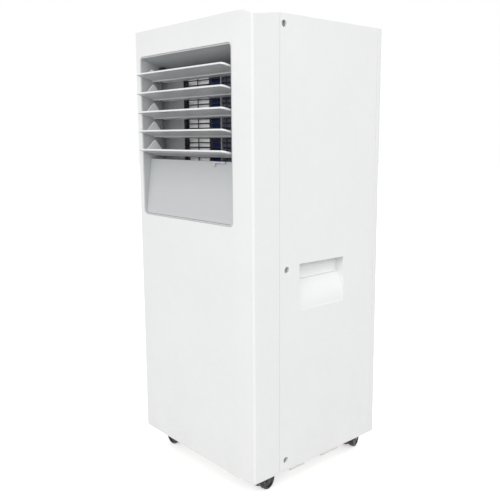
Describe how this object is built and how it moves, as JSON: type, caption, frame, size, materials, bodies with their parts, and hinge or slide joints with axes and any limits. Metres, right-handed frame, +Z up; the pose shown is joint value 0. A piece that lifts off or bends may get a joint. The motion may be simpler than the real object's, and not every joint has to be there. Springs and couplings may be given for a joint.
{
  "type": "portable air conditioner",
  "caption": "Upright room air conditioner on casters, with a louvred front outlet in a grey liner, side hand recesses, rear intake grilles and a round exhaust collar.",
  "frame": {"origin": "on the floor under the middle of the machine, between the louvre tips and the exhaust collar", "axes": "+Z up, the louvred outlet faces -Y, +X towards the side whose front corner is chamfered"},
  "size_m": [0.27, 0.2882, 0.66],
  "materials": {
    "casing_white": "satin moulded ABS",
    "panel_white": "gloss moulded",
    "outlet_grey": "satin moulded",
    "blade_grey": "satin moulded",
    "inner_plastic": "natural moulded",
    "tray_grey": "natural moulded",
    "black_plastic": "moulded",
    "wheel_black": "hard nylon",
    "fan_white": "moulded",
    "blue_fin": "coated fin",
    "bare_fin": "rolled fin",
    "copper": "drawn tube",
    "galvanised_steel": "zinc coated",
    "black_paint": "enamel",
    "bright_steel": "turned",
    "motor_steel": "pressed",
    "black_rubber": "moulded",
    "filter_mesh_grey": "woven mesh in a moulded frame",
    "display_smoke": "smoked lens",
    "key_grey": "soft key",
    "board_green": "solder mask",
    "spigot_grey": "moulded"
  },
  "bodies": {
    "cabinet": {"accumulator": "black_paint", "base_tray": "tray_grey", "casing_screws": "bright_steel", "coil_end_plates": "galvanised_steel", "compressor": "black_paint", "compressor_grommets": "black_rubber", "condenser_fins": "bare_fin", "condenser_tubes": "copper", "control_board": "board_green", "control_panel": "panel_white", "cord_inlet": "black_plastic", "deck": "inner_plastic", "display_window": "display_smoke", "drain_spigot": "spigot_grey", "drip_tray": "inner_plastic", "electronics_box": "galvanised_steel", "evaporator_fins": "blue_fin", "evaporator_tubes": "copper", "exhaust_collar": "casing_white", "exhaust_duct": "inner_plastic", "exhaust_fan_scroll": "inner_plastic", "fan_motor": "motor_steel", "filter_drier": "copper", "front_shell": "casing_white", "infill_panel": "outlet_grey", "left_side_panel": "casing_white", "louvre_motor": "inner_plastic", "lower_intake_grille": "casing_white", "outlet_bezel": "outlet_grey", "outlet_guard": "black_plastic", "power_board": "board_green", "rear_panel": "casing_white", "refrigerant_pipes": "copper", "right_side_panel": "casing_white", "room_fan_scroll": "inner_plastic", "top_cover": "casing_white"},
    "louvre_1": {"louvre_blade_1": "blade_grey"},
    "louvre_2": {"louvre_blade_2": "blade_grey"},
    "louvre_3": {"louvre_blade_3": "blade_grey"},
    "louvre_4": {"louvre_blade_4": "blade_grey"},
    "louvre_5": {"louvre_blade_5": "blade_grey"},
    "link_bar": {"louvre_link": "inner_plastic"},
    "fan_rotor": {"room_fan_wheel": "fan_white", "exhaust_fan_wheel": "fan_white", "fan_shaft": "bright_steel"},
    "intake_door": {"filter_door": "casing_white", "air_filter": "filter_mesh_grey"},
    "key_power": {"button_power": "key_grey"},
    "key_mode": {"button_mode": "key_grey"},
    "key_fan_speed": {"button_fan_speed": "key_grey"},
    "key_temperature": {"temperature_rocker": "key_grey"},
    "drain_bung": {"drain_cap": "black_rubber"},
    "fork_front_right": {"caster_fork_front_right": "black_plastic"},
    "wheels_front_right": {"caster_wheels_front_right": "wheel_black"},
    "fork_front_left": {"caster_fork_front_left": "black_plastic"},
    "wheels_front_left": {"caster_wheels_front_left": "wheel_black"},
    "fork_rear_right": {"caster_fork_rear_right": "black_plastic"},
    "wheels_rear_right": {"caster_wheels_rear_right": "wheel_black"},
    "fork_rear_left": {"caster_fork_rear_left": "black_plastic"},
    "wheels_rear_left": {"caster_wheels_rear_left": "wheel_black"}
  },
  "joints": [
    {"name": "louvre_1_tilt", "type": "hinge", "parent": "cabinet", "child": "louvre_1", "pos_m": [0, -0.11, 0.5893], "axis": [1, 0, 0], "range_deg": [-20, 35]},
    {"name": "louvre_2_tilt", "type": "hinge", "parent": "cabinet", "child": "louvre_2", "pos_m": [0, -0.11, 0.5613], "axis": [1, 0, 0], "range_deg": [-20, 35]},
    {"name": "louvre_3_tilt", "type": "hinge", "parent": "cabinet", "child": "louvre_3", "pos_m": [0, -0.11, 0.5333], "axis": [1, 0, 0], "range_deg": [-20, 35]},
    {"name": "louvre_4_tilt", "type": "hinge", "parent": "cabinet", "child": "louvre_4", "pos_m": [0, -0.11, 0.5053], "axis": [1, 0, 0], "range_deg": [-20, 35]},
    {"name": "louvre_5_tilt", "type": "hinge", "parent": "cabinet", "child": "louvre_5", "pos_m": [0, -0.11, 0.4773], "axis": [1, 0, 0], "range_deg": [-20, 35]},
    {"name": "link_bar_pivot", "type": "hinge", "parent": "louvre_1", "child": "link_bar", "pos_m": [-0.109, -0.1018, 0.5894], "axis": [1, 0, 0], "range_deg": [-35, 20]},
    {"name": "fan_spin", "type": "hinge", "parent": "cabinet", "child": "fan_rotor", "pos_m": [-0.069, -0.006, 0.42], "axis": [0, 0, 1], "continuous": true},
    {"name": "intake_door_hinge", "type": "hinge", "parent": "cabinet", "child": "intake_door", "pos_m": [0, 0.1294, 0.455], "axis": [-1, 0, 0], "range_deg": [0, 65]},
    {"name": "power_press", "type": "slide", "parent": "cabinet", "child": "key_power", "axis": [0, 0, -1], "range_m": [0, 0.0012], "stiffness_N_per_m": 700, "springref_m": -0.0006},
    {"name": "mode_press", "type": "slide", "parent": "cabinet", "child": "key_mode", "axis": [0, 0, -1], "range_m": [0, 0.0012], "stiffness_N_per_m": 700, "springref_m": -0.0006},
    {"name": "fan_speed_press", "type": "slide", "parent": "cabinet", "child": "key_fan_speed", "axis": [0, 0, -1], "range_m": [0, 0.0012], "stiffness_N_per_m": 700, "springref_m": -0.0006},
    {"name": "temperature_rock", "type": "hinge", "parent": "cabinet", "child": "key_temperature", "pos_m": [0.038, -0.056, 0.645], "axis": [0, 1, 0], "range_deg": [-3, 3], "stiffness_Nm_per_rad": 0.12},
    {"name": "drain_bung_pull", "type": "slide", "parent": "cabinet", "child": "drain_bung", "axis": [0, 1, 0], "range_m": [0, 0.016]},
    {"name": "swivel_front_right", "type": "hinge", "parent": "cabinet", "child": "fork_front_right", "pos_m": [0.107, -0.097, 0.04], "axis": [0, 0, 1], "continuous": true},
    {"name": "roll_front_right", "type": "hinge", "parent": "fork_front_right", "child": "wheels_front_right", "pos_m": [0.10509, -0.08617, 0.014], "axis": [0.9848, 0.1736, 0], "continuous": true},
    {"name": "swivel_front_left", "type": "hinge", "parent": "cabinet", "child": "fork_front_left", "pos_m": [-0.107, -0.097, 0.04], "axis": [0, 0, 1], "continuous": true},
    {"name": "roll_front_left", "type": "hinge", "parent": "fork_front_left", "child": "wheels_front_left", "pos_m": [-0.096, -0.097, 0.014], "axis": [0, -1, 0], "continuous": true},
    {"name": "swivel_rear_right", "type": "hinge", "parent": "cabinet", "child": "fork_rear_right", "pos_m": [0.107, 0.097, 0.04], "axis": [0, 0, 1], "continuous": true},
    {"name": "roll_rear_right", "type": "hinge", "parent": "fork_rear_right", "child": "wheels_rear_right", "pos_m": [0.10324, 0.10734, 0.014], "axis": [0.9397, 0.342, 0], "continuous": true},
    {"name": "swivel_rear_left", "type": "hinge", "parent": "cabinet", "child": "fork_rear_left", "pos_m": [-0.107, 0.097, 0.04], "axis": [0, 0, 1], "continuous": true},
    {"name": "roll_rear_left", "type": "hinge", "parent": "fork_rear_left", "child": "wheels_rear_left", "pos_m": [-0.11407, 0.08857, 0.014], "axis": [-0.766, 0.6428, 0], "continuous": true}
  ],
  "couplings": [
    {"joint": "louvre_2_tilt", "follows": "louvre_1_tilt", "ratio": 1},
    {"joint": "louvre_3_tilt", "follows": "louvre_1_tilt", "ratio": 1},
    {"joint": "louvre_4_tilt", "follows": "louvre_1_tilt", "ratio": 1},
    {"joint": "louvre_5_tilt", "follows": "louvre_1_tilt", "ratio": 1},
    {"joint": "link_bar_pivot", "follows": "louvre_1_tilt", "ratio": -1}
  ]
}
